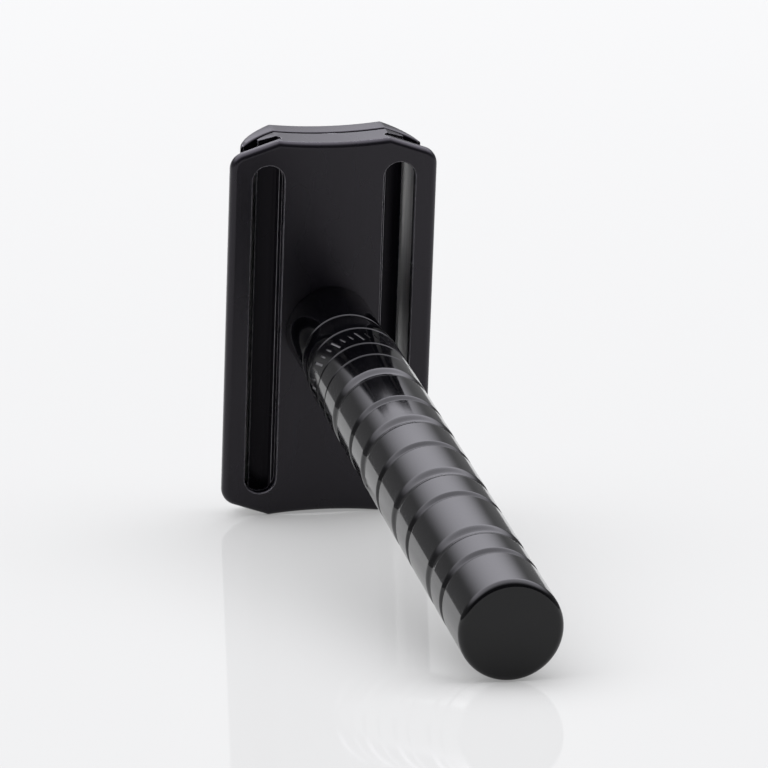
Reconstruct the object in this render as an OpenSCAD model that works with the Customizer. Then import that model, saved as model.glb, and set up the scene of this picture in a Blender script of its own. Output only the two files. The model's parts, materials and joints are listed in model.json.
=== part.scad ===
// Three-piece double-edge safety razor, lying on a table the way it is put down:
// the short end of the head and the tail of the handle touch the table.
// Every piece is drawn in the razor's own frame, then laid down by lay_down():
//   x across the head, y along the head, z out of the plate's front face along the handle.

/* [Head] */
// Length of the head over its four peaks
head_l = 43.5; // [43.5:0.1:46]
// Distance between the two peaks of one short end
peak_gap = 12.4; // [10:0.2:14]
// Slope of each short end from a peak to the corner, in degrees
end_slope = 19; // [14:1:24]
// How far each short end dips between its peaks
end_dip = 0.35; // [0.1:0.05:0.5]
// Corner radius of the base plate
corner_r = 1.9; // [1.2:0.1:2.4]

/* [Base plate] */
// Width of the base plate over its two guard bars
plate_w = 23; // [22.4:0.1:24]
// Thickness of the slab that carries the guard bars
slab_t = 1; // [0.9:0.1:1.2]
// Radius of the slab's front edge
edge_r = 0.7; // [0.4:0.1:0.8]
// Distance of the inner wall of a lather slot from the centre
slot_in = 5.45; // [5.2:0.05:5.6]
// Width of a lather slot
slot_w = 3.7; // [3:0.1:3.9]
// Length of a lather slot
slot_l = 38.2; // [34:0.2:38.6]
// Half width of the ledge that carries the blade
ledge_half_w = 8.1; // [7.9:0.1:8.4]
// Thickness of the ledge at its lip
ledge_lip_t = 0.45; // [0.4:0.05:0.6]

/* [Blade] */
// Length of the blade over its end tabs
blade_l = 42.6; // [42:0.1:42.8]
// Width of the blade, flat, from edge to edge
blade_w = 22; // [21.8:0.1:22.1]
// Thickness of the blade
blade_t = 0.1; // [0.1:0.01:0.12]
// Free gap between the ledge and the cap, which holds the blade
blade_gap = 0.5; // [0.45:0.05:0.6]
// Radius to which the head bends the blade
bend_r = 4.3; // [4.1:0.1:4.6]
// Angle of the blade's edge below its flat middle, in degrees
bend_angle = 46; // [40:1:48]

/* [Cap] */
// Thickness of the cap at its middle
cap_t = 2.4; // [1.9:0.1:2.8]
// Radius of the cap's rounded long sides
cap_side_r = 4.15; // [4:0.05:4.6]

/* [Handle] */
// Length of the handle
handle_l = 90; // [86:1:100]
// Diameter of the grip
grip_d = 10.6; // [10:0.1:12]
// Diameter of the plain neck next to the head
neck_d = 9.8; // [9.2:0.1:10]
// Length of the plain neck
neck_l = 9.5; // [8:0.1:11]
// Length of the cone from the neck to the grip
cone_l = 5; // [3:0.5:6]
// Bevel of the tail's rim
tail_bevel = 0.35; // [0.2:0.05:0.6]
// Depth of the finger coves
cove_depth = 0.3; // [0.1:0.05:0.4]

/* [Stud] */
// Outer diameter of the stud's thread
stud_d = 4.9; // [4.7:0.05:4.95]
// Reach of the stud past the plate's front face
stud_reach = 9; // [8:0.5:10]

/* [Hidden] */
$fn = 96;

// Facets of the wide arcs that dip the head's ends
dip_facets = 400;

// How far a cutter runs past the surface it cuts
over = 1;
head_half_l = head_l / 2;
peak_x = peak_gap / 2;
plate_half_w = plate_w / 2;
dip_r = (peak_x * peak_x + end_dip * end_dip) / (2 * end_dip);
corner_turn = 90 - end_slope;

// Heights along the handle's axis, with the plate's front face at zero
ledge_z = -3.6;
cap_under_z = ledge_z - blade_gap;
cap_back_z = cap_under_z - cap_t;
blade_mid_z = ledge_z - blade_gap / 2;

// The blade's bend: centre of the arc and the end of the straight edge strip
bend_x = 6.4;
bend_z = blade_mid_z + bend_r;
edge_strip = blade_w / 2 - bend_x - bend_r * bend_angle * PI / 180;

// Lather channels between the slab and the ledges, and the ledges' lips
channel_r = 0.65;
channel_inner_x = 5.75;
lip_x = ledge_half_w - bend_x;
lip_r = bend_r - blade_gap / 2;
lip_z = bend_z - sqrt(lip_r * lip_r - lip_x * lip_x) + ledge_lip_t;

cap_side_x = 5.9;
cap_lip_z = -2.65;

// Stud, locating pins and their holes
running_gap = 0.05;
boss_d = 6.4;
boss_z = -1.9;
stud_foot_z = -5.6;
pin_d = 2.4;
pin_y = 15;
pin_tip_z = -1.7;
pin_foot_z = -5.4;

// Threaded bush in the handle
bush_d = 7.4;
bush_l = 9;
bush_top_z = 0.4;
bore_end_z = 12;
handle_top_z = 0.1;

// Ring pattern of the handle
ring_w = 0.36;
ring_depth = 0.14;
ring_zs = [neck_l, neck_l + cone_l + 0.5, neck_l + cone_l + 5.4, neck_l + cone_l + 9];
wide_cove_w = 2.6;
wide_cove_zs = [29, 43.6, 59.2, 75.7];
slim_cove_w = 1.6;
slim_cove_zs = [37.2, 51, 65.6, 81.5];

// Resting angle: the table is tangent to the plate's front edge and to the tail's rim
reach_a = handle_l - tail_bevel + edge_r;
reach_b = head_half_l - edge_r - grip_d / 2 + tail_bevel;
rest_angle = atan2(reach_b, reach_a) + asin((edge_r - tail_bevel) / norm([reach_a, reach_b]));

// Height of the razor's frame above the table, from the tail's lowest rim
tail_low = (grip_d / 2 - tail_bevel) * cos(rest_angle) + handle_l * sin(rest_angle);
rim_low = grip_d / 2 * cos(rest_angle) + (handle_l - tail_bevel) * sin(rest_angle);
lift_z = max(tail_low, rim_low);

// Place of the razor's frame that puts the middle of the object over the origin
back_y = head_half_l * sin(rest_angle) - cap_back_z * cos(rest_angle);
front_y = -(grip_d / 2 - tail_bevel) * sin(rest_angle) - handle_l * cos(rest_angle);
shift_y = -(back_y + front_y) / 2;

// Puts a piece from the razor's own frame onto the table
module lay_down() {
    translate([0, shift_y, lift_z])
        rotate([90 + rest_angle, 0, 0])
            children();
}

// One corner of the head's outline, from the peak to the end of the rounded corner
function corner(half_w, inset) =
    let (
        px = peak_x - inset * tan(end_slope / 2),
        py = head_half_l - inset,
        w = half_w - inset,
        r = corner_r - inset,
        cy = py - (w - px) * tan(end_slope) - r * tan(corner_turn / 2)
    )
    concat(
        [[px, py]],
        [for (i = [0:6]) let (turn = corner_turn * (1 - i / 6)) [w - r + r * cos(turn), cy + r * sin(turn)]]
    );

function flip_x(pts) = [for (i = [len(pts) - 1:-1:0]) [-pts[i][0], pts[i][1]]];
function flip_xy(pts) = [for (p = pts) [-p[0], -p[1]]];
function flip_y(pts) = [for (i = [len(pts) - 1:-1:0]) [pts[i][0], -pts[i][1]]];

// Plan outline of the head, without the dips of its short ends
module head_outline(half_w, inset = 0) {
    c = corner(half_w, inset);
    polygon(concat(c, flip_y(c), flip_xy(c), flip_x(c)));
}

// The shallow dips of both short ends
module end_dips() {
    for (side = [-1, 1])
        translate([0, side * (head_half_l + dip_r - end_dip), cap_back_z - over])
            cylinder(r = dip_r, h = 2 * over - cap_back_z, $fn = dip_facets);
}

// A section in x and z, drawn along the head and cut to the head's outline
module head_section() {
    difference() {
        intersection() {
            translate([0, head_l, 0])
                rotate([90, 0, 0])
                    linear_extrude(2 * head_l)
                        children();
            translate([0, 0, -10])
                linear_extrude(12)
                    head_outline(plate_half_w);
        }
        end_dips();
    }
}

// Section of all that lies on the plate's side of the bent blade's middle layer;
// a positive gap moves its limit towards the plate, a negative one towards the cap
module under_bend(gap) {
    r = bend_r - gap;
    reach = 8;
    translate([-bend_x, blade_mid_z + gap])
        square([2 * bend_x, reach]);
    for (side = [0, 1])
        mirror([side, 0])
            translate([bend_x, bend_z]) {
                intersection() {
                    circle(r);
                    translate([0, -r])
                        square(r);
                }
                rotate(bend_angle - 90)
                    square([r, reach]);
            }
}

module slot_shape() {
    r = slot_w / 2;
    for (side = [-1, 1])
        translate([side * (slot_in + r), 0]) {
            square([slot_w, slot_l - slot_w], center = true);
            for (end = [-1, 1])
                translate([0, end * (slot_l / 2 - r)])
                    circle(r);
        }
}

// Slab with guard bars: rounded along its front edge
module slab() {
    steps = 4;
    slice = 0.02;
    hull() {
        translate([0, 0, -slab_t])
            linear_extrude(slab_t - edge_r)
                head_outline(plate_half_w);
        for (i = [1:steps])
            translate([0, 0, -edge_r + edge_r * sin(90 * i / steps) - slice])
                linear_extrude(slice)
                    head_outline(plate_half_w, edge_r * (1 - cos(90 * i / steps)));
    }
}

// Middle web and the two ledges, with the lather channels below the ledges
module ledge_section() {
    round_x = channel_inner_x + channel_r;
    root_z = -slab_t - 2 * channel_r;
    out_x = ledge_half_w + 1;
    intersection() {
        difference() {
            translate([-ledge_half_w, ledge_z])
                square([2 * ledge_half_w, -ledge_z - slab_t / 2]);
            for (side = [0, 1])
                mirror([side, 0]) {
                    translate([round_x, -slab_t - channel_r])
                        circle(channel_r);
                    polygon([
                        [round_x, 0],
                        [round_x, root_z],
                        [ledge_half_w, lip_z],
                        [out_x, lip_z],
                        [out_x, 0]
                    ]);
                }
        }
        under_bend(blade_gap / 2);
    }
}

// Holes for the cap's boss, the stud and the two locating pins
module plate_holes() {
    end_gap = 0.3;
    translate([0, 0, ledge_z - over])
        cylinder(d = boss_d + 2 * running_gap, h = over + boss_z + end_gap - ledge_z);
    translate([0, 0, ledge_z - over])
        cylinder(d = stud_d + 2 * running_gap, h = 2 * over - ledge_z);
    for (side = [-1, 1])
        translate([0, side * pin_y, ledge_z - over])
            cylinder(d = pin_d + 2 * running_gap, h = over + pin_tip_z + end_gap - ledge_z);
}

module base_plate() {
    slot_cut = 0.2;
    color([0.06, 0.06, 0.065])
        lay_down()
            difference() {
                union() {
                    difference() {
                        slab();
                        end_dips();
                    }
                    head_section()
                        ledge_section();
                }
                translate([0, 0, -slab_t - slot_cut])
                    linear_extrude(slab_t + 1)
                        slot_shape();
                plate_holes();
            }
}

// Cap section: flat back, round long sides and an underside that bends the blade
module cap_section() {
    difference() {
        intersection() {
            union() {
                translate([-cap_side_x, cap_back_z])
                    square([2 * cap_side_x, cap_t + 1]);
                for (side = [-1, 1])
                    translate([side * cap_side_x, cap_back_z + cap_side_r])
                        circle(cap_side_r);
            }
            translate([-plate_half_w, cap_back_z - 1])
                square([plate_w, 1 + cap_lip_z - cap_back_z]);
        }
        under_bend(-blade_gap / 2);
    }
}

module top_cap() {
    boss_root = 0.5;
    color([0.06, 0.06, 0.065])
        lay_down()
            difference() {
                union() {
                    head_section()
                        cap_section();
                    translate([0, 0, cap_under_z - boss_root])
                        cylinder(d = boss_d, h = boss_root + boss_z - cap_under_z);
                }
                translate([0, 0, stud_foot_z])
                    cylinder(d = stud_d, h = boss_z - stud_foot_z + over);
                for (side = [-1, 1])
                    translate([0, side * pin_y, pin_foot_z])
                        cylinder(d = pin_d, h = cap_under_z - pin_foot_z + over);
            }
}

module threaded_stud() {
    tip = 0.5;
    color([0.62, 0.62, 0.64])
        lay_down() {
            translate([0, 0, stud_foot_z])
                cylinder(d = stud_d, h = stud_reach - tip - stud_foot_z);
            translate([0, 0, stud_reach - tip])
                cylinder(d1 = stud_d, d2 = stud_d - 2 * tip, h = tip);
        }
}

module locating_pin(side) {
    tip = 0.3;
    color([0.62, 0.62, 0.64])
        lay_down()
            translate([0, side * pin_y, 0]) {
                translate([0, 0, pin_foot_z])
                    cylinder(d = pin_d, h = pin_tip_z - tip - pin_foot_z);
                translate([0, 0, pin_tip_z - tip])
                    cylinder(d1 = pin_d, d2 = pin_d - 2 * tip, h = tip);
            }
}

module locating_pin_upper() {
    locating_pin(1);
}

module locating_pin_lower() {
    locating_pin(-1);
}

// Section of the blade as the head bends it
module blade_section() {
    overlap = 0.02;
    translate([-bend_x - overlap, blade_mid_z - blade_t / 2])
        square([2 * (bend_x + overlap), blade_t]);
    for (side = [0, 1])
        mirror([side, 0])
            translate([bend_x, bend_z]) {
                intersection() {
                    difference() {
                        circle(bend_r + blade_t / 2);
                        circle(bend_r - blade_t / 2);
                    }
                    polygon([
                        [0, 0],
                        [0, -2 * bend_r],
                        [2 * bend_r * tan(bend_angle), -2 * bend_r]
                    ]);
                }
                rotate(bend_angle - 90)
                    translate([bend_r - blade_t / 2, -overlap])
                        square([blade_t, edge_strip + overlap]);
            }
}

// Plan of the blade: cutting width, end tabs, long slot and holes
module blade_plan() {
    cutting_l = 37.4;
    tab_w = 13;
    long_slot = [1.2, 36];
    hole_gap = 0.5;
    difference() {
        union() {
            square([plate_w, cutting_l], center = true);
            square([tab_w, blade_l], center = true);
        }
        square(long_slot, center = true);
        circle(d = boss_d + hole_gap);
        for (side = [-1, 1])
            translate([0, side * pin_y])
                circle(d = pin_d + hole_gap);
    }
}

module blade() {
    color([0.75, 0.76, 0.78])
        lay_down()
            intersection() {
                translate([0, head_l, 0])
                    rotate([90, 0, 0])
                        linear_extrude(2 * head_l)
                            blade_section();
                translate([0, 0, -6])
                    linear_extrude(6)
                        blade_plan();
            }
}

function handle_r(z) =
    z <= neck_l ? neck_d / 2
    : z >= neck_l + cone_l ? grip_d / 2
    : neck_d / 2 + (grip_d - neck_d) / 2 * (z - neck_l) / cone_l;

// Half section of the handle, radius against height
module handle_section() {
    neck_bevel = 0.15;
    difference() {
        polygon([
            [0, handle_top_z],
            [neck_d / 2 - neck_bevel, handle_top_z],
            [neck_d / 2, handle_top_z + neck_bevel],
            [neck_d / 2, neck_l],
            [grip_d / 2, neck_l + cone_l],
            [grip_d / 2, handle_l - tail_bevel],
            [grip_d / 2 - tail_bevel, handle_l],
            [0, handle_l]
        ]);
        for (z = ring_zs)
            polygon([
                [handle_r(z) - ring_depth, z],
                [handle_r(z) + ring_depth, z - ring_w],
                [handle_r(z) + ring_depth, z + ring_w]
            ]);
        for (z = wide_cove_zs)
            cove(z, wide_cove_w);
        for (z = slim_cove_zs)
            cove(z, slim_cove_w);
    }
}

// Section of one finger cove: a shallow arc
module cove(z, w) {
    r = (w * w / 4 + cove_depth * cove_depth) / (2 * cove_depth);
    translate([grip_d / 2 + r - cove_depth, z])
        circle(r);
}

module handle() {
    bore_clearance = 0.5;
    color([0.04, 0.04, 0.045])
        lay_down()
            difference() {
                rotate_extrude()
                    handle_section();
                translate([0, 0, -over])
                    cylinder(d = bush_d, h = over + bush_top_z + bush_l);
                cylinder(d = stud_d + bore_clearance, h = bore_end_z);
            }
}

module thread_bush() {
    color([0.62, 0.62, 0.64])
        lay_down()
            translate([0, 0, bush_top_z])
                difference() {
                    cylinder(d = bush_d, h = bush_l);
                    translate([0, 0, -over])
                        cylinder(d = stud_d + 2 * running_gap, h = bush_l + 2 * over);
                }
}

top_cap();
threaded_stud();
locating_pin_upper();
locating_pin_lower();
blade();
base_plate();
handle();
thread_bush();
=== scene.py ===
"""Looks of the safety razor: detailed pieces, materials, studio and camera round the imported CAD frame."""
import json
import math

import bmesh
import bpy
from mathutils import Matrix, Vector


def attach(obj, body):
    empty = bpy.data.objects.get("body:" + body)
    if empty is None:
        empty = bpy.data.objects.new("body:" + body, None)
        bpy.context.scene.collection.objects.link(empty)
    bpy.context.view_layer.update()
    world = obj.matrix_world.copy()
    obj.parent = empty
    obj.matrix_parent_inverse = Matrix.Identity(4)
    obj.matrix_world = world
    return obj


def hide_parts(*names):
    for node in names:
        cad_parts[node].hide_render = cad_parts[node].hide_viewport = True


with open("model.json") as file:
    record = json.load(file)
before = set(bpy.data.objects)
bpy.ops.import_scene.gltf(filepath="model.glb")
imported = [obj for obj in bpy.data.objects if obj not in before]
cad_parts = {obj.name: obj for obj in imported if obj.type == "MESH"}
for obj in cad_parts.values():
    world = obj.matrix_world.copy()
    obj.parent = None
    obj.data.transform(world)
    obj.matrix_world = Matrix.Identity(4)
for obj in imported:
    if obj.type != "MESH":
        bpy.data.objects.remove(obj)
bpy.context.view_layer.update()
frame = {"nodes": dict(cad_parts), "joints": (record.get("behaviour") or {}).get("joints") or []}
MM = 0.001

# ---------------------------------------------------------------- the razor's own frame
# x across the head, y along the head, z out of the plate's front face along the handle (millimetres)
TURN = next(joint for joint in frame["joints"] if joint["name"] == "handle_turn")
AXIS = Vector(TURN["axis"]).normalized()
ACROSS = Vector((1, 0, 0))
UP_HEAD = AXIS.cross(ACROSS)
LAY = Matrix.Translation(TURN["pos_m"]) @ Matrix((ACROSS, UP_HEAD, AXIS)).transposed().to_4x4()

# Head, in millimetres
HALF_L, PEAK_X, END_DIP, END_SLOPE = 21.75, 6.2, 0.35, math.radians(19)
PLATE_HALF_W, CORNER_R, SLAB_T, EDGE_R = 11.5, 1.9, 1.0, 0.7
SLOT_X, SLOT_R, SLOT_HALF_L, SLOT_CHAMFER = 7.3, 1.85, 19.1, 0.1
LEDGE_Z, LEDGE_X, LEDGE_LIP = -3.6, 8.1, 0.45
BEND_X, BEND_R, BEND_ANGLE, BLADE_T = 6.4, 4.3, math.radians(46), 0.1
BLADE_GAP = 0.5
BLADE_Z = LEDGE_Z - BLADE_GAP / 2
BEND_Z = BLADE_Z + BEND_R
CHANNEL_X, CHANNEL_R = 5.75, 0.65
CAP_BACK_Z, CAP_SIDE_X, CAP_SIDE_R, CAP_LIP_Z = -6.5, 5.9, 4.15, -2.68
BOSS_R, BOSS_Z, STUD_R, STUD_TIP_Z, PITCH = 3.2, -1.9, 2.45, 9.0, 0.8
STUD_FOOT_Z = -5.6
PIN_R, PIN_Y, PIN_TIP_Z, PIN_FOOT_Z = 1.2, 15.0, -1.7, -5.4
BLADE_HALF_W, BLADE_HALF_L, TAB_HALF_W, TAB_HALF_L = 11.0, 18.7, 6.5, 21.3
PRESS_GAP = 0.01  # round a pressed-in stud or pin
PLATE_GAP = 0.05  # round the boss, stud and pins where they pass the plate
BLADE_HOLE_GAP = 0.25  # round the boss and pins where they pass the blade

# Handle, in millimetres
NECK_R, GRIP_R, NECK_L, CONE_L, HANDLE_L = 4.9, 5.3, 9.5, 5.0, 90.0
HANDLE_TOP, TAIL_ROUND, BUSH_R, BORE_R, BORE_END = 0.1, 0.8, 3.7, 2.7, 12.0
RINGS = (9.5, 15.0, 19.9, 23.5)
RING_W, RING_DEPTH = 0.36, 0.14
WIDE_COVES, NARROW_COVES = (29.0, 43.6, 59.2, 75.7), (37.2, 51.0, 65.6, 81.5)
COVES = [(z, 2.6) for z in WIDE_COVES] + [(z, 1.6) for z in NARROW_COVES]
COVE_DEPTH = 0.3
MARKS_Z = 17.45  # middle of the engraved band
BUSH_END = 9.4


# ---------------------------------------------------------------- mesh helpers
def place(name, bm, material, body, replaces=(), sharp=30):
    """Turns a bmesh drawn in razor millimetres into a piece that lies where the CAD node lies."""
    bmesh.ops.scale(bm, vec=(MM, MM, MM), verts=bm.verts)
    bmesh.ops.recalc_face_normals(bm, faces=bm.faces)
    limit = math.radians(sharp)
    for face in bm.faces:
        face.smooth = True
    for edge in bm.edges:
        edge.smooth = len(edge.link_faces) == 2 and edge.calc_face_angle(0) < limit
    mesh = bpy.data.meshes.new(name)
    bm.to_mesh(mesh)
    bm.free()
    piece = bpy.data.objects.new(name, mesh)
    bpy.context.scene.collection.objects.link(piece)
    piece.matrix_world = LAY
    for one in material if isinstance(material, (list, tuple)) else [material]:
        mesh.materials.append(one)
    weighted = piece.modifiers.new("face_weighted", "WEIGHTED_NORMAL")
    weighted.keep_sharp = True
    weighted.weight = 100
    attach(piece, body)
    if replaces:
        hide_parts(*replaces)
    return piece


def boolean(bm, cutters, operation="DIFFERENCE"):
    """Cuts or joins closed bmeshes, and returns the result as a new bmesh."""
    def as_object(one, name):
        mesh = bpy.data.meshes.new(name)
        one.to_mesh(mesh)
        one.free()
        made = bpy.data.objects.new(name, mesh)
        bpy.context.scene.collection.objects.link(made)
        return made

    base = as_object(bm, "boolean_base")
    tools = [as_object(cutter, "boolean_tool") for cutter in cutters]
    for tool in tools:
        step = base.modifiers.new("step", "BOOLEAN")
        step.object = tool
        step.operation = operation
        step.solver = "MANIFOLD"
    bpy.context.view_layer.update()
    out = bmesh.new()
    out.from_object(base, bpy.context.evaluated_depsgraph_get())
    for made in [base, *tools]:
        mesh = made.data
        bpy.data.objects.remove(made)
        bpy.data.meshes.remove(mesh)
    return out


def ring(bm, points):
    return [bm.verts.new(point) for point in points]


def bridge(bm, low, high):
    """Quads between two closed rings with the same number of points."""
    count = len(low)
    for i in range(count):
        j = (i + 1) % count
        bm.faces.new((low[i], low[j], high[j], high[i]))


def lathe(profile, segments=96, closed=False):
    """A solid turned about z from (radius, z) points. A closed profile makes a tube."""
    bm = bmesh.new()
    turned = []
    for radius, z in profile:
        turned.append(ring(bm, [
            (radius * math.cos(a), radius * math.sin(a), z)
            for a in (2 * math.pi * i / segments for i in range(segments))
        ]))
    for low, high in zip(turned, turned[1:]):
        bridge(bm, low, high)
    if closed:
        bridge(bm, turned[-1], turned[0])
    else:
        bm.faces.new(list(reversed(turned[0])))
        bm.faces.new(turned[-1])
    return bm


def arc(cx, cy, radius, start, end, steps):
    """Points of an arc, angles in degrees, ends included."""
    return [
        (cx + radius * math.cos(a), cy + radius * math.sin(a))
        for a in (math.radians(start + (end - start) * i / steps) for i in range(steps + 1))
    ]


# ---------------------------------------------------------------- outline of the head
DIP_R = (PEAK_X ** 2 + END_DIP ** 2) / (2 * END_DIP)
CORNER_Y = (
    HALF_L - (PLATE_HALF_W - PEAK_X) * math.tan(END_SLOPE)
    - CORNER_R * math.tan((math.pi / 2 - END_SLOPE) / 2)
)


def end_y(x):
    """Half length of the head at x."""
    x = abs(x)
    if x <= PEAK_X:
        return HALF_L - END_DIP + DIP_R - math.sqrt(DIP_R ** 2 - x ** 2)
    slope = HALF_L - (x - PEAK_X) * math.tan(END_SLOPE)
    cx = PLATE_HALF_W - CORNER_R
    if x > cx + CORNER_R * math.sin(END_SLOPE):
        return CORNER_Y + math.sqrt(max(0, CORNER_R ** 2 - (x - cx) ** 2))
    return slope


def head_outline():
    """Corner points of the head's plan outline, counter-clockwise, with the dips of the short ends."""
    dip = [(PEAK_X * (1 - i / 10), end_y(PEAK_X * (1 - i / 10))) for i in range(11)]
    corner = arc(PLATE_HALF_W - CORNER_R, CORNER_Y, CORNER_R, 0, 90 - math.degrees(END_SLOPE), 10)
    quarter = corner + dip
    half = quarter + [(-x, y) for x, y in reversed(quarter[:-1])]
    return half + [(-x, -y) for x, y in half]


def inset(points, distance):
    """Moves a closed counter-clockwise outline inwards, with mitred corners."""
    out = []
    for i, point in enumerate(points):
        before = Vector(point) - Vector(points[i - 1])
        after = Vector(points[(i + 1) % len(points)]) - Vector(point)
        a = Vector((-before.y, before.x)).normalized()
        b = Vector((-after.y, after.x)).normalized()
        mitre = (a + b).normalized()
        mitre *= distance / max(0.2, mitre.dot(a))
        out.append((point[0] + mitre.x, point[1] + mitre.y))
    return out


def stacked(outline, levels):
    """A closed solid of the outline at each (height, inset)."""
    bm = bmesh.new()
    rings = [ring(bm, [(x, y, z) for x, y in inset(outline, depth)]) for z, depth in levels]
    for low, high in zip(rings, rings[1:]):
        bridge(bm, low, high)
    bm.faces.new(list(reversed(rings[0])))
    bm.faces.new(rings[-1])
    return bm


def rounded_edge(z, radius, depth=0.0, steps=6):
    """Levels of a rounded upper edge that ends at height z."""
    return [
        (z - radius + radius * math.sin(a), depth + radius * (1 - math.cos(a)))
        for a in (math.pi / 2 * i / steps for i in range(steps + 1))
    ]


def bar(upper, lower, end_r):
    """A bar along y between two rows of (x, z) points, with the head's ends and rounded end edges."""
    bm = bmesh.new()
    loop = upper + list(reversed(lower))
    count = len(loop)
    thickness = [math.dist(a, b) for a, b in zip(upper, lower)]
    radii = [min(end_r, 0.4 * t) for t in thickness + list(reversed(thickness))]
    area = sum(a[0] * b[1] - b[0] * a[1] for a, b in zip(loop, loop[1:] + loop[:1]))
    turned = math.copysign(1, area)
    normals = []
    for i, point in enumerate(loop):
        before = Vector(point) - Vector(loop[i - 1])
        after = Vector(loop[(i + 1) % count]) - Vector(point)
        a = Vector((-before.y, before.x)).normalized() * turned
        b = Vector((-after.y, after.x)).normalized() * turned
        normals.append((a + b).normalized())
    steps = 4
    rows = []
    for side in (-1, 1):
        angles = [math.pi / 2 * k / steps for k in range(steps + 1)]
        if side < 0:
            angles.reverse()
        for angle in angles:
            rows.append(ring(bm, [
                (
                    x + n.x * r * (1 - math.cos(angle)),
                    side * (end_y(x) - r * (1 - math.sin(angle))),
                    z + n.y * r * (1 - math.cos(angle)),
                )
                for (x, z), n, r in zip(loop, normals, radii)
            ]))
    for low, high in zip(rows, rows[1:]):
        bridge(bm, low, high)
    half = len(upper)
    for row in (rows[0], rows[-1]):
        for i in range(half - 1):
            bm.faces.new((row[i], row[i + 1], row[count - 2 - i], row[count - 1 - i]))
    bmesh.ops.recalc_face_normals(bm, faces=bm.faces)
    return bm


# ---------------------------------------------------------------- materials
def new_material(name):
    material = bpy.data.materials.new(name)
    material.use_nodes = True
    tree = material.node_tree
    return material, tree, tree.nodes["Principled BSDF"]


def noise(tree, scale, detail=2.0, roughness=0.5):
    """Noise in the piece's own frame, with its scale per millimetre along x, y and z."""
    coords = tree.nodes.new("ShaderNodeTexCoord")
    mapping = tree.nodes.new("ShaderNodeMapping")
    mapping.inputs["Scale"].default_value = [s / MM for s in scale]
    texture = tree.nodes.new("ShaderNodeTexNoise")
    texture.inputs["Scale"].default_value = 1.0
    texture.inputs["Detail"].default_value = detail
    texture.inputs["Roughness"].default_value = roughness
    tree.links.new(coords.outputs["Object"], mapping.inputs["Vector"])
    tree.links.new(mapping.outputs["Vector"], texture.inputs["Vector"])
    return texture.outputs["Fac"]


def ramp(tree, value, stops):
    """Colour ramp with (position, grey or colour) stops."""
    node = tree.nodes.new("ShaderNodeValToRGB")
    elements = node.color_ramp.elements
    while len(elements) < len(stops):
        elements.new(0.5)
    for element, (position, colour) in zip(elements, stops):
        element.position = position
        rgb = (colour,) * 3 if isinstance(colour, (int, float)) else colour
        element.color = (*rgb, 1)
    tree.links.new(value, node.inputs["Fac"])
    return node.outputs["Color"]


def spread(tree, value, low, high):
    """A texture value spread over a range."""
    node = tree.nodes.new("ShaderNodeMapRange")
    node.inputs["From Min"].default_value = 0.3
    node.inputs["From Max"].default_value = 0.7
    node.inputs["To Min"].default_value = low
    node.inputs["To Max"].default_value = high
    tree.links.new(value, node.inputs["Value"])
    return node.outputs["Result"]


def painted_edge_highlight(tree, colour, highlight_colour, radius, amount):
    """Lightens a colour where the surface turns sharply: a painted highlight on edges and rims."""
    bevel = tree.nodes.new("ShaderNodeBevel")
    bevel.samples = 4
    bevel.inputs["Radius"].default_value = radius
    geometry = tree.nodes.new("ShaderNodeNewGeometry")
    dot = tree.nodes.new("ShaderNodeVectorMath")
    dot.operation = "DOT_PRODUCT"
    tree.links.new(bevel.outputs["Normal"], dot.inputs[0])
    tree.links.new(geometry.outputs["Normal"], dot.inputs[1])
    edge = tree.nodes.new("ShaderNodeMapRange")
    edge.inputs["From Min"].default_value = 0.995
    edge.inputs["From Max"].default_value = 0.8
    edge.inputs["To Min"].default_value = 0.0
    edge.inputs["To Max"].default_value = amount
    tree.links.new(dot.outputs["Value"], edge.inputs["Value"])
    mix = tree.nodes.new("ShaderNodeMix")
    mix.data_type = "RGBA"
    tree.links.new(edge.outputs["Result"], mix.inputs["Factor"])
    tree.links.new(colour, mix.inputs["A"])
    mix.inputs["B"].default_value = (*highlight_colour, 1)
    return mix.outputs["Result"]


def bump(tree, shader, height, strength, distance):
    node = tree.nodes.new("ShaderNodeBump")
    node.inputs["Strength"].default_value = strength
    node.inputs["Distance"].default_value = distance
    tree.links.new(height, node.inputs["Height"])
    tree.links.new(node.outputs["Normal"], shader.inputs["Normal"])


def anodised_brushed():
    """Satin black anodised aluminium, brushed along the head, with painted shade in the slots and a painted
    highlight on its sharp edges.
    """
    material, tree, shader = new_material("black_anodised_brushed")
    streak = noise(tree, (3.2, 0.05, 3.2), 4.0, 0.65)
    cloud = noise(tree, (0.15, 0.08, 0.15))
    colour = ramp(tree, streak, [(0.3, (0.0008, 0.0007, 0.0014)), (0.7, (0.0028, 0.0025, 0.0042))])
    # painted highlight: pale grey colour on the sharp edges and slot rims
    colour = painted_edge_highlight(tree, colour, (0.55, 0.54, 0.57), 0.00008, 0.9)
    tree.links.new(colour, shader.inputs["Base Color"])
    slot_shade = slot_shade_mask(tree)
    # painted shade: specular lowered from 0.5 to 0.12 behind the front face darkens the slots' insides
    slot_shade_specular = tree.nodes.new("ShaderNodeMapRange")
    slot_shade_specular.inputs["To Min"].default_value = 0.5
    slot_shade_specular.inputs["To Max"].default_value = 0.12
    tree.links.new(slot_shade, slot_shade_specular.inputs["Value"])
    tree.links.new(slot_shade_specular.outputs["Result"], shader.inputs["Specular IOR Level"])
    tree.links.new(spread(tree, cloud, 0.24, 0.31), shader.inputs["Roughness"])
    shader.inputs["IOR"].default_value = 1.45
    shader.inputs["Specular Tint"].default_value = (0.96, 0.91, 1.0, 1)
    bump(tree, shader, streak, 0.25, 0.000003)
    return material


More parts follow.
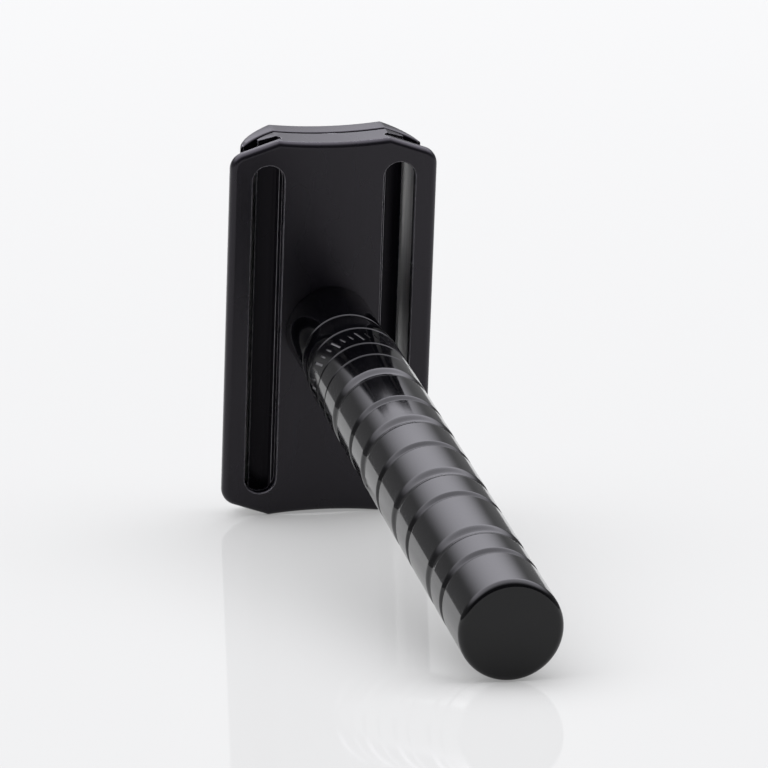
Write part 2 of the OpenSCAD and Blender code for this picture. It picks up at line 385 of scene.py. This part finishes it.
def slot_shade_mask(tree):
    """1 behind the front face and clear of the head's ends, 0 elsewhere: where the slots get painted shade.
    """
    coords = tree.nodes.new("ShaderNodeTexCoord")
    parts = tree.nodes.new("ShaderNodeSeparateXYZ")
    tree.links.new(coords.outputs["Object"], parts.inputs["Vector"])
    depth = tree.nodes.new("ShaderNodeMapRange")
    depth.inputs["From Min"].default_value = -0.6 * MM
    depth.inputs["From Max"].default_value = -1.2 * MM
    tree.links.new(parts.outputs["Z"], depth.inputs["Value"])
    along = tree.nodes.new("ShaderNodeMath")
    along.operation = "ABSOLUTE"
    tree.links.new(parts.outputs["Y"], along.inputs[0])
    clear = tree.nodes.new("ShaderNodeMapRange")
    clear.inputs["From Min"].default_value = SLOT_HALF_L * MM + 0.8 * MM
    clear.inputs["From Max"].default_value = SLOT_HALF_L * MM + 0.2 * MM
    tree.links.new(along.outputs["Value"], clear.inputs["Value"])
    both = tree.nodes.new("ShaderNodeMath")
    both.operation = "MULTIPLY"
    tree.links.new(depth.outputs["Result"], both.inputs[0])
    tree.links.new(clear.outputs["Result"], both.inputs[1])
    return both.outputs["Value"]


def anodised_gloss():
    """Polished black anodised aluminium, with the faint rings of turning and fine handling marks."""
    material, tree, shader = new_material("black_anodised_gloss")
    turning = noise(tree, (0.05, 0.05, 7), 2.0, 0.5)
    smear = noise(tree, (0.25, 0.25, 0.12), 4.0, 0.6)
    colour = ramp(tree, smear, [(0.3, (0.0006, 0.0006, 0.0009)), (0.7, (0.0015, 0.0015, 0.002))])
    # painted highlight: faintly lighter colour on the handle's sharp edges and ring rims
    colour = painted_edge_highlight(tree, colour, (0.04, 0.04, 0.045), 0.00006, 0.3)
    tree.links.new(colour, shader.inputs["Base Color"])
    tree.links.new(spread(tree, smear, 0.07, 0.13), shader.inputs["Roughness"])
    shader.inputs["IOR"].default_value = 1.42
    bump(tree, shader, turning, 0.12, 0.000003)
    return material


def etched():
    """The pale, matt bottom of the engraved marks."""
    material, tree, shader = new_material("etched_marks")
    grain = noise(tree, (25, 25, 25), 3.0, 0.7)
    tree.links.new(ramp(tree, grain, [(0.3, 0.10), (0.7, 0.18)]), shader.inputs["Base Color"])
    tree.links.new(spread(tree, grain, 0.4, 0.6), shader.inputs["Roughness"])
    bump(tree, shader, grain, 0.4, 0.00001)
    return material


def steel(name, scale, low, high, rough_low, rough_high):
    """Bare stainless steel with tool marks."""
    material, tree, shader = new_material(name)
    marks = noise(tree, scale, 3.0, 0.6)
    tree.links.new(ramp(tree, marks, [(0.3, low), (0.7, high)]), shader.inputs["Base Color"])
    tree.links.new(spread(tree, marks, rough_low, rough_high), shader.inputs["Roughness"])
    shader.inputs["Metallic"].default_value = 1.0
    bump(tree, shader, marks, 0.2, 0.000004)
    return material


BRUSHED = anodised_brushed()
GLOSS = anodised_gloss()
ETCHED = etched()
BLADE_STEEL = steel("blade_steel", (6, 0.1, 6), (0.52, 0.52, 0.515), (0.66, 0.66, 0.65), 0.34, 0.42)
TURNED_STEEL = steel("turned_steel", (0.5, 0.5, 14), (0.4, 0.39, 0.38), (0.56, 0.55, 0.54), 0.18, 0.32)


# ---------------------------------------------------------------- head
def side_rows(half_upper, half_lower):
    """Mirrors half rows, from the middle out, into whole rows."""
    def whole(half):
        return [(-x, z) for x, z in reversed(half[1:])] + half
    return whole(half_upper), whole(half_lower)


def cap():
    inner_r = BEND_R + BLADE_GAP / 2
    under_z = BLADE_Z - BLADE_GAP / 2
    tip_x = CAP_SIDE_X + math.sqrt(CAP_SIDE_R ** 2 - (CAP_LIP_Z - CAP_BACK_Z - CAP_SIDE_R) ** 2)
    bend_end = (BEND_X + inner_r * math.sin(BEND_ANGLE), BEND_Z - inner_r * math.cos(BEND_ANGLE))
    inner_tip_x = bend_end[0] + (CAP_LIP_Z - bend_end[1]) / math.tan(BEND_ANGLE)

    def back(x):
        return CAP_BACK_Z if x <= CAP_SIDE_X else (
            CAP_BACK_Z + CAP_SIDE_R - math.sqrt(CAP_SIDE_R ** 2 - (x - CAP_SIDE_X) ** 2)
        )

    def front(x):
        if x <= BEND_X:
            return under_z
        if x <= bend_end[0]:
            return BEND_Z - math.sqrt(inner_r ** 2 - (x - BEND_X) ** 2)
        return bend_end[1] + (x - bend_end[0]) * math.tan(BEND_ANGLE)

    middle = [PEAK_X * i / 12 for i in range(13)]
    turn = math.asin((tip_x - CAP_SIDE_X) / CAP_SIDE_R)
    first = math.asin((PEAK_X - CAP_SIDE_X) / CAP_SIDE_R)
    outer = middle + [
        CAP_SIDE_X + CAP_SIDE_R * math.sin(first + (turn - first) * i / 24) for i in range(1, 25)
    ]
    share = (inner_tip_x - PEAK_X) / (tip_x - PEAK_X)
    inner = [x if x <= PEAK_X else PEAK_X + (x - PEAK_X) * share for x in outer]
    upper, lower = side_rows([(x, back(x)) for x in outer], [(x, front(x)) for x in inner])
    end_r, root, rim, rim_middle = 0.22, 0.5, 0.25, 0.07
    bm = bar(upper, lower, end_r)
    boss = lathe([
        (BOSS_R, under_z - root), (BOSS_R, BOSS_Z - rim), (BOSS_R - rim_middle, BOSS_Z - rim_middle),
        (BOSS_R - rim, BOSS_Z), (STUD_R + PRESS_GAP, BOSS_Z),
    ], 96)
    bm = boolean(bm, [boss], "UNION")
    holes = [lathe([(STUD_R + PRESS_GAP, STUD_FOOT_Z), (STUD_R + PRESS_GAP, 0)], 64)]
    for side in (-1, 1):
        hole = lathe([(PIN_R + PRESS_GAP, PIN_FOOT_Z), (PIN_R + PRESS_GAP, 0)], 48)
        bmesh.ops.translate(hole, vec=(0, side * PIN_Y, 0), verts=hole.verts)
        holes.append(hole)
    bm = boolean(bm, holes)
    return place("cap_shell", bm, BRUSHED, "cap_unit", ["top_cap"])


def channel(side):
    """Cutter of the round-ended channel behind the slot."""
    round_end = arc(CHANNEL_X + CHANNEL_R, -SLAB_T - CHANNEL_R, CHANNEL_R, 90, 270, 16)
    bm = bmesh.new()
    rows = [ring(bm, [(side * x, y, z) for x, z in round_end]) for y in (-HALF_L - 1, HALF_L + 1)]
    bridge(bm, rows[0], rows[1])
    for row in rows:
        bm.faces.new(row)
    bmesh.ops.recalc_face_normals(bm, faces=bm.faces)
    return bm


def plate():
    """Slab with the slots, joined to the web behind it that the blade lies on."""
    web_end_r, step = 0.05, 0.02
    cut_low, cut_high, past_end = -8, 2, 0.3
    slot_past, slot_above, slot_rim = 0.2, 0.5, 0.02
    outline = head_outline()
    slab = stacked(outline, [(-SLAB_T, 0.0)] + rounded_edge(0, EDGE_R, steps=8))
    lip_r = BEND_R - BLADE_GAP / 2
    root_x = CHANNEL_X + CHANNEL_R
    root_z = -SLAB_T - 2 * CHANNEL_R
    lip_back = BEND_Z - math.sqrt(lip_r ** 2 - (LEDGE_X - BEND_X) ** 2)
    middle = [PEAK_X * i / 10 for i in range(11)]
    under = [(root_x + (LEDGE_X - root_x) * i / 8, root_z + (lip_back + LEDGE_LIP - root_z) * i / 8)
             for i in range(9)]
    front = [(x, -SLAB_T / 2) for x in middle] + [(root_x - step, -SLAB_T / 2)] + under
    count = len(front) - len(middle)
    back = [(x, LEDGE_Z) for x in middle]
    for i in range(1, count + 1):
        x = PEAK_X + (LEDGE_X - PEAK_X) * i / count
        back.append((x, LEDGE_Z if x <= BEND_X else BEND_Z - math.sqrt(lip_r ** 2 - (x - BEND_X) ** 2)))
    upper, lower = side_rows(back, front)
    web = boolean(bar(upper, lower, web_end_r), [channel(side) for side in (-1, 1)])
    bm = boolean(slab, [web], "UNION")

    cutters = []
    for side in (-1, 1):
        right = arc(side * SLOT_X, SLOT_HALF_L - SLOT_R, SLOT_R, 0, 180, 20)
        left = arc(side * SLOT_X, -SLOT_HALF_L + SLOT_R, SLOT_R, 180, 360, 20)
        cutters.append(stacked(right + left, [
            (-SLAB_T - slot_past, SLOT_CHAMFER), (-SLOT_CHAMFER, SLOT_CHAMFER),
            (0, slot_rim), (slot_above, slot_rim - slot_above),
        ]))
    stud_r, boss_r, pin_r = (r + PLATE_GAP for r in (STUD_R, BOSS_R, PIN_R))
    cutters.append(lathe([(stud_r, cut_low), (stud_r, cut_high)], 64))
    cutters.append(lathe([(boss_r, cut_low), (boss_r, BOSS_Z + past_end)], 96))
    for side in (-1, 1):
        hole = lathe([(pin_r, cut_low), (pin_r, PIN_TIP_Z + past_end)], 48)
        bmesh.ops.translate(hole, vec=(0, side * PIN_Y, 0), verts=hole.verts)
        cutters.append(hole)
    bm = boolean(bm, cutters)
    return place("guard_plate", bm, BRUSHED, "plate", ["base_plate"])


def blade():
    """A flat blank with its cut-outs and ground edges, bent by the head."""
    ground_w, first_bevel, edge_share = 0.9, 0.3, 0.08
    slot_half_w, slot_half_l, columns = 0.6, 18, 72
    widths = [-BLADE_HALF_W, -BLADE_HALF_W + first_bevel, -BLADE_HALF_W + ground_w]
    unground = 2 * BLADE_HALF_W - 2 * ground_w
    inner = [-BLADE_HALF_W + ground_w + unground * i / columns for i in range(1, columns)]
    widths += inner + [-w for w in reversed(widths)]
    lengths = [-TAB_HALF_L + 2 * TAB_HALF_L * i / 20 for i in range(21)]

    def half_t(u):
        rim = BLADE_HALF_W - abs(u)
        return BLADE_T / 2 * min(1, edge_share + (1 - edge_share) * rim / ground_w)

    bm = bmesh.new()
    sheets = []
    for side in (-1, 1):
        sheets.append([[bm.verts.new((u, v, side * half_t(u))) for v in lengths] for u in widths])
    last_u, last_v = len(widths) - 1, len(lengths) - 1
    for grid in sheets:
        for i in range(last_u):
            for j in range(last_v):
                bm.faces.new((grid[i][j], grid[i + 1][j], grid[i + 1][j + 1], grid[i][j + 1]))
    low, high = sheets
    for i in range(last_u):
        for j in (0, last_v):
            bm.faces.new((low[i][j], low[i + 1][j], high[i + 1][j], high[i][j]))
    for j in range(last_v):
        for i in (0, last_u):
            bm.faces.new((low[i][j], low[i][j + 1], high[i][j + 1], high[i][j]))
    bmesh.ops.recalc_face_normals(bm, faces=bm.faces)

    def block(x0, x1, y0, y1):
        return stacked([(x0, y0), (x1, y0), (x1, y1), (x0, y1)], [(-1, 0), (1, 0)])

    boss_r, pin_r = BOSS_R + BLADE_HOLE_GAP, PIN_R + BLADE_HOLE_GAP
    cutters = [lathe([(boss_r, -1), (boss_r, 1)], 64)]
    cutters.append(block(-slot_half_w, slot_half_w, -slot_half_l, slot_half_l))
    for sy in (-1, 1):
        hole = lathe([(pin_r, -1), (pin_r, 1)], 40)
        bmesh.ops.translate(hole, vec=(0, sy * PIN_Y, 0), verts=hole.verts)
        cutters.append(hole)
        for sx in (-1, 1):
            xs = sorted((sx * TAB_HALF_W, sx * (BLADE_HALF_W + 1)))
            ys = sorted((sy * BLADE_HALF_L, sy * (TAB_HALF_L + 1)))
            cutters.append(block(*xs, *ys))
    for cutter in cutters:
        bmesh.ops.recalc_face_normals(cutter, faces=cutter.faces)
    bm = boolean(bm, cutters)
    bmesh.ops.triangulate(bm, faces=bm.faces)
    for vert in bm.verts:
        u, lift = vert.co.x, vert.co.z
        side = math.copysign(1, u)
        past = abs(u) - BEND_X
        if past <= 0:
            vert.co.z = BLADE_Z + lift
            continue
        angle = min(past / BEND_R, BEND_ANGLE)
        strip = max(0.0, past - BEND_R * BEND_ANGLE)
        radius = BEND_R - lift
        vert.co.x = side * (BEND_X + radius * math.sin(angle) + strip * math.cos(angle))
        vert.co.z = BEND_Z - radius * math.cos(angle) + strip * math.sin(angle)
    return place("razor_blade", bm, BLADE_STEEL, "blade_body", ["blade"], sharp=40)


def stud():
    """Stud with a right-hand thread, whose crests wind round as z grows."""
    around, per_turn = 60, 12
    depth, start, tip, run_in = 0.42, BOSS_Z + 0.1, 0.5, 0.5
    foot_share, crest_top, crest_slope, tip_slope = 0.97, 1.25, 3.0, 0.3
    tip_least = 0.0001
    bm = bmesh.new()
    rows = [ring(bm, [(foot_share * STUD_R * math.cos(a), foot_share * STUD_R * math.sin(a), STUD_FOOT_Z)
                      for a in (2 * math.pi * i / around for i in range(around))])]
    steps = round((STUD_TIP_Z - start) / PITCH * per_turn)
    for k in range(steps + 1):
        z = start + (STUD_TIP_Z - start) * k / steps
        points = []
        for i in range(around):
            a = 2 * math.pi * i / around
            phase = ((z / PITCH) - a / (2 * math.pi)) % 1.0
            crest = max(0.0, min(1.0, crest_top - abs(phase - 0.5) * crest_slope))
            fade = min(1.0, (z - start) / run_in, (STUD_TIP_Z - z) / tip + tip_least)
            radius = STUD_R - depth + depth * crest * max(0.0, fade)
            if z > STUD_TIP_Z - tip:
                radius = min(radius, STUD_R - depth - tip_slope * (z - STUD_TIP_Z + tip))
            points.append((radius * math.cos(a), radius * math.sin(a), z))
        rows.append(ring(bm, points))
    for low, high in zip(rows, rows[1:]):
        bridge(bm, low, high)
    bm.faces.new(list(reversed(rows[0])))
    bm.faces.new(rows[-1])
    return place("stud_with_thread", bm, TURNED_STEEL, "cap_unit", ["threaded_stud"], sharp=60)


def pins():
    """Two turned dowels with rounded rims and a shallow centre mark."""
    rim, mark_r, mark_floor_r, mark_depth = 0.3, 0.35, 0.3, 0.06
    for node, side in (("locating_pin_upper", 1), ("locating_pin_lower", -1)):
        tip = arc(PIN_R - rim, PIN_TIP_Z - rim, rim, 0, 90, 6)
        mark = [(mark_r, PIN_TIP_Z), (mark_floor_r, PIN_TIP_Z - mark_depth)]
        bm = lathe([(PIN_R, PIN_FOOT_Z)] + tip + mark, 64)
        bmesh.ops.translate(bm, vec=(0, side * PIN_Y, 0), verts=bm.verts)
        place(node + "_turned", bm, TURNED_STEEL, "cap_unit", [node])


# ---------------------------------------------------------------- handle
def handle_r(z):
    """Radius of the plain handle at z: neck, smooth cone, grip."""
    if z <= NECK_L:
        return NECK_R
    if z >= NECK_L + CONE_L:
        return GRIP_R
    share = (z - NECK_L) / CONE_L
    return NECK_R + (GRIP_R - NECK_R) * share * share * (3 - 2 * share)


def handle_profile():
    """Half section of the handle's outside, from the neck's face to the tail, with rings and coves."""
    rim, ring_edge, ring_lip, ring_floor = 0.15, 0.04, 0.02, 0.35
    cove_steps = 16
    points = [(BUSH_R, HANDLE_TOP), (NECK_R - rim, HANDLE_TOP)]
    points += arc(NECK_R - rim, HANDLE_TOP + rim, rim, -90, 0, 4)[1:]
    features = [(z, RING_W, "ring") for z in RINGS] + [(z, w, "cove") for z, w in COVES]
    cone = [(NECK_L + CONE_L * i / 12, 0, "point") for i in range(1, 12)]
    for z, width, kind in sorted(features + cone):
        r = handle_r(z)
        half = width / 2
        if kind == "point":
            if all(abs(z - f[0]) > f[1] for f in features):
                points.append((r, z))
        elif kind == "ring":
            points += [
                (r, z - half - ring_edge), (r - ring_lip, z - half), (r - RING_DEPTH, z - half * ring_floor),
                (r - RING_DEPTH, z + half * ring_floor), (r - ring_lip, z + half), (r, z + half + ring_edge),
            ]
        else:
            for i in range(cove_steps + 1):
                dip = COVE_DEPTH * (1 - math.cos(2 * math.pi * i / cove_steps)) / 2
                points.append((r - dip, z - half + width * i / cove_steps))
    points += arc(GRIP_R - TAIL_ROUND, HANDLE_L - TAIL_ROUND, TAIL_ROUND, 0, 90, 8)
    return points


def ticks():
    """Cutters of the engraved band: slanted ticks, every third one long."""
    cutters = []
    count, slant, depth = 36, math.radians(14), 0.13
    for i in range(count):
        half, half_w = (1.35, 0.13) if i % 3 == 0 else (0.7, 0.1)
        bm = bmesh.new()
        bmesh.ops.create_cube(bm, size=1)
        bmesh.ops.scale(bm, vec=(1.0, 2 * half_w, 2 * half), verts=bm.verts)
        bmesh.ops.rotate(bm, matrix=Matrix.Rotation(slant, 3, "X"), verts=bm.verts)
        bmesh.ops.translate(bm, vec=(GRIP_R + 0.5 - depth, 0, MARKS_Z), verts=bm.verts)
        angle = 2 * math.pi * (i + 0.5) / count
        bmesh.ops.rotate(bm, matrix=Matrix.Rotation(angle, 3, "Z"), verts=bm.verts)
        cutters.append(bm)
    return cutters


def handle():
    """Turned bar with its stepped bore, and the marks' bottoms in a second material."""
    centre_r, drill_point, least_depth = 0.02, 1.2, 0.05
    marks_low, marks_high = 15.6, 19.4
    outer = handle_profile()
    tail = [(centre_r, HANDLE_L)]
    bore = [(centre_r, BORE_END + drill_point), (BORE_R, BORE_END), (BORE_R, BUSH_END), (BUSH_R, BUSH_END)]
    bm = lathe(outer + tail + bore, 192, closed=True)
    bmesh.ops.recalc_face_normals(bm, faces=bm.faces)
    bm = boolean(bm, ticks())
    depth_limit = GRIP_R - least_depth
    for face in bm.faces:
        c = face.calc_center_median()
        if marks_low < c.z < marks_high and BORE_R + 1 < math.hypot(c.x, c.y) < depth_limit:
            face.material_index = 1
    return place("turned_handle", bm, [GLOSS, ETCHED], "handle_body", ["handle"], sharp=24)


cap()
plate()
blade()
stud()
pins()
handle()
bush = frame["nodes"]["thread_bush"]
bush.data.materials.clear()
bush.data.materials.append(TURNED_STEEL)


# ---------------------------------------------------------------- studio
def floor():
    """Pale glossy table top, with a faint glow that lifts its shadows."""
    radius_m, glow_strength, gloss_roughness, gloss_ior = 4.0, 0.2, 0.04, 1.38
    bm = bmesh.new()
    bmesh.ops.create_circle(bm, cap_ends=True, cap_tris=False, radius=radius_m, segments=96)
    mesh = bpy.data.meshes.new("studio_floor")
    bm.to_mesh(mesh)
    bm.free()
    made = bpy.data.objects.new("studio_floor", mesh)
    bpy.context.scene.collection.objects.link(made)
    material = bpy.data.materials.new("pale_acrylic")
    material.use_nodes = True
    tree = material.node_tree
    tree.nodes.clear()
    out = tree.nodes.new("ShaderNodeOutputMaterial")
    add = tree.nodes.new("ShaderNodeAddShader")
    matt = tree.nodes.new("ShaderNodeBsdfDiffuse")
    matt.inputs["Color"].default_value = (0.33, 0.336, 0.313, 1)
    glow = tree.nodes.new("ShaderNodeEmission")
    glow.inputs["Color"].default_value = (1, 1, 1, 1)
    glow.inputs["Strength"].default_value = glow_strength
    body = tree.nodes.new("ShaderNodeAddShader")
    gloss = tree.nodes.new("ShaderNodeBsdfGlossy")
    gloss.inputs["Roughness"].default_value = gloss_roughness
    fresnel = tree.nodes.new("ShaderNodeFresnel")
    fresnel.inputs["IOR"].default_value = gloss_ior
    tree.links.new(fresnel.outputs["Fac"], gloss.inputs["Color"])
    tree.links.new(matt.outputs["BSDF"], body.inputs[0])
    tree.links.new(glow.outputs["Emission"], body.inputs[1])
    tree.links.new(body.outputs["Shader"], add.inputs[0])
    tree.links.new(gloss.outputs["BSDF"], add.inputs[1])
    tree.links.new(add.outputs["Shader"], out.inputs["Surface"])
    mesh.materials.append(material)


def soft_light():
    """World light: dim near the horizon, with a large soft source overhead and behind the razor."""
    world = bpy.data.worlds.new("studio")
    bpy.context.scene.world = world
    world.use_nodes = True
    tree = world.node_tree
    background = tree.nodes["Background"]
    coords = tree.nodes.new("ShaderNodeTexCoord")

    def along(direction, low, high):
        """0 to 1 as the view direction's share along a direction goes from low to high."""
        dot = tree.nodes.new("ShaderNodeVectorMath")
        dot.operation = "DOT_PRODUCT"
        dot.inputs[1].default_value = direction
        tree.links.new(coords.outputs["Generated"], dot.inputs[0])
        share = tree.nodes.new("ShaderNodeMapRange")
        share.interpolation_type = "SMOOTHSTEP"
        share.inputs["From Min"].default_value = low
        share.inputs["From Max"].default_value = high
        tree.links.new(dot.outputs["Value"], share.inputs["Value"])
        return share.outputs["Result"]

    light_from, light_full = math.radians(17), math.radians(45)
    rear_from, rear_full = -0.8, -0.1
    room_front, front_from, front_full = (0, -0.94, 0.34), 0.1, 0.8
    up = along((0, 0, 1), math.sin(light_from), math.sin(light_full))
    rear = along((0, 1, 0), rear_from, rear_full)
    product = tree.nodes.new("ShaderNodeMath")
    product.operation = "MULTIPLY"
    tree.links.new(up, product.inputs[0])
    tree.links.new(rear, product.inputs[1])
    room = tree.nodes.new("ShaderNodeMix")
    room.data_type = "RGBA"
    room.inputs["A"].default_value = (0.25, 0.25, 0.255, 1)
    room.inputs["B"].default_value = (0.10, 0.10, 0.105, 1)
    tree.links.new(along(room_front, front_from, front_full), room.inputs["Factor"])
    mix = tree.nodes.new("ShaderNodeMix")
    mix.data_type = "RGBA"
    tree.links.new(room.outputs["Result"], mix.inputs["A"])
    mix.inputs["B"].default_value = (3.0, 2.95, 3.22, 1)
    tree.links.new(product.outputs["Value"], mix.inputs["Factor"])
    tree.links.new(mix.outputs["Result"], background.inputs["Color"])


def camera():
    """The photo's viewing angle: from the left of the handle, looking a little down."""
    data = bpy.data.cameras.new("camera")
    data.sensor_width = 36.0
    data.lens = 304.69
    data.clip_end = 20
    made = bpy.data.objects.new("camera", data)
    bpy.context.scene.collection.objects.link(made)
    azimuth, down, roll = math.radians(11.962), math.radians(9.550), math.radians(-0.214)
    look = Vector((math.sin(azimuth) * math.cos(down), math.cos(azimuth) * math.cos(down), -math.sin(down)))
    turn = look.to_track_quat("-Z", "Y").to_matrix() @ Matrix.Rotation(roll, 3, "Z")
    from_joint_m = Vector((-0.140526, -0.691984, 0.112620))
    place_m = Vector(TURN["pos_m"]) + from_joint_m
    made.matrix_world = Matrix.Translation(place_m) @ turn.to_4x4()
    bpy.context.scene.camera = made


floor()
soft_light()
camera()
bpy.context.scene.view_settings.view_transform = "Standard"
